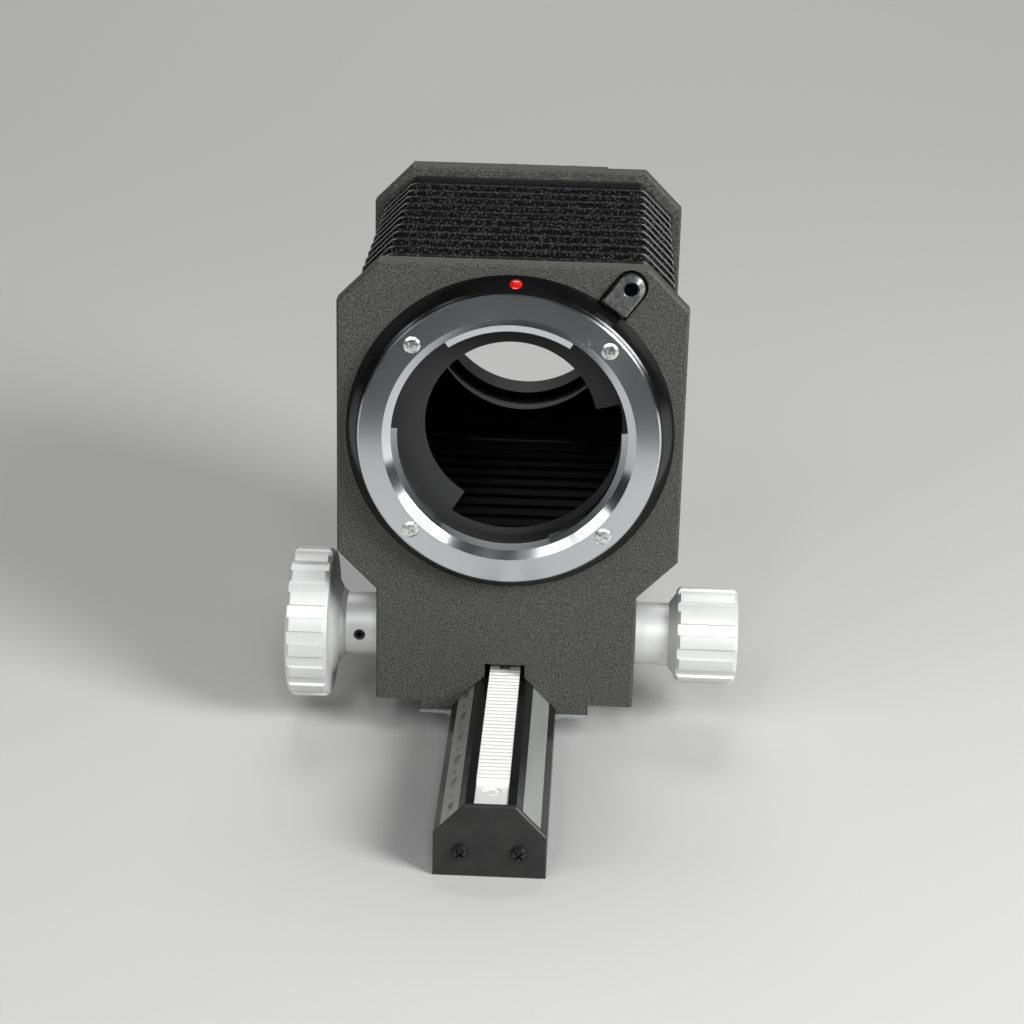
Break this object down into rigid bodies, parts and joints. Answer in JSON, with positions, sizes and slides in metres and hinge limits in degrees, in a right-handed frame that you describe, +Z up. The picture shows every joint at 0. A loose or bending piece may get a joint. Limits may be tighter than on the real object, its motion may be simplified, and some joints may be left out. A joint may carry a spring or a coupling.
{
  "type": "macro bellows unit",
  "caption": "Macro bellows on a single rail: a lens standard racked along by a side knob, a pleated bellows, and a fixed camera standard with a rotating bayonet.",
  "frame": {"origin": "mouth of the tripod socket, on the underside of the rail", "axes": "+Z up; +Y along the rail, towards the camera; +X to the right as seen from the lens side"},
  "size_m": [0.0944, 0.1639, 0.1047],
  "materials": {
    "black_anodised": "glossy black anodised extrusion",
    "black_satin": "satin black anodised",
    "nickel": "bright nickel-plated, ground",
    "scale_grey": "grey anodised plate with printed black figures",
    "black_steel": "black oxide screws",
    "crinkle_paint": "fine black wrinkle paint on a casting",
    "plain_steel": "plain turned steel",
    "bellows_leather": "black pebbled leatherette",
    "frame_black": "satin black paint",
    "gloss_black": "glossy black anodised",
    "gloss_black_steel": "polished black-nickel plate",
    "chrome": "satin chrome with turned marks",
    "red_enamel": "glossy red enamel drop",
    "matt_grey": "matt dark grey anti-reflection paint",
    "bronze": "plain bronze",
    "satin_aluminium": "satin silver anodised",
    "blued_steel": "polished blued pin head"
  },
  "bodies": {
    "rail_base": {"rail": "black_anodised", "rack": "nickel", "rack_screws": "nickel", "scale_plate_left": "scale_grey", "scale_plate_right": "scale_grey", "front_end_cap": "black_satin", "rear_end_cap": "black_satin", "end_cap_screws": "black_steel", "rear_standard": "crinkle_paint", "foot_screws": "black_steel", "tripod_bush": "plain_steel", "bellows": "bellows_leather", "bellows_rear_frame": "frame_black", "lock_cover": "crinkle_paint", "lock_cover_screws": "black_steel"},
    "carriage": {"front_standard": "crinkle_paint", "lens_mount_base": "gloss_black", "lens_bayonet": "chrome", "bayonet_screws": "chrome", "lens_index_dot": "red_enamel", "light_baffle": "matt_grey", "baffle_screws": "black_steel", "bellows_front_frame": "frame_black", "gib_plates": "chrome", "gib_screws": "plain_steel", "shaft_bushes": "bronze", "lock_bush": "bronze", "release_spring": "plain_steel"},
    "focus_drive": {"focus_knob": "satin_aluminium", "set_screw": "black_steel", "pinion_shaft": "plain_steel", "pinion": "bronze"},
    "clamp_drive": {"lock_knob": "satin_aluminium", "lock_stud": "plain_steel"},
    "lens_release": {"release_tongue": "gloss_black_steel", "release_button": "blued_steel", "lens_lock_pin": "plain_steel"},
    "camera_mount": {"turntable": "gloss_black", "turntable_retainer": "matt_grey", "retainer_screws": "plain_steel", "camera_bayonet": "chrome", "camera_bayonet_screws": "chrome", "camera_index_dot": "red_enamel"},
    "mount_lock": {"mount_lock_lever": "plain_steel"}
  },
  "joints": [
    {"name": "carriage_slide", "type": "slide", "parent": "rail_base", "child": "carriage", "axis": [0, 1, 0], "range_m": [-0.052, 0.04], "deforming": ["bellows"]},
    {"name": "focus_turn", "type": "hinge", "parent": "carriage", "child": "focus_drive", "pos_m": [0, -0.0745, 0.02107], "axis": [1, 0, 0], "range_deg": [-420, 545]},
    {"name": "clamp_turn", "type": "hinge", "parent": "carriage", "child": "clamp_drive", "pos_m": [0, -0.0745, 0.02107], "axis": [1, 0, 0], "range_deg": [0, 180]},
    {"name": "release_press", "type": "slide", "parent": "carriage", "child": "lens_release", "axis": [0, 1, 0], "range_m": [0, 0.0012], "stiffness_N_per_m": 600, "springref_m": -0.002, "deforming": ["release_spring"]},
    {"name": "mount_turn", "type": "hinge", "parent": "rail_base", "child": "camera_mount", "pos_m": [0, 0, 0.0696], "axis": [0, 1, 0], "continuous": true},
    {"name": "mount_lock_swing", "type": "hinge", "parent": "rail_base", "child": "mount_lock", "pos_m": [-0.004, 0, 0.1016], "axis": [0, -1, 0], "range_deg": [0, 60]}
  ],
  "couplings": [
    {"joint": "focus_turn", "follows": "carriage_slide", "rad_per_m": -181.82}
  ]
}
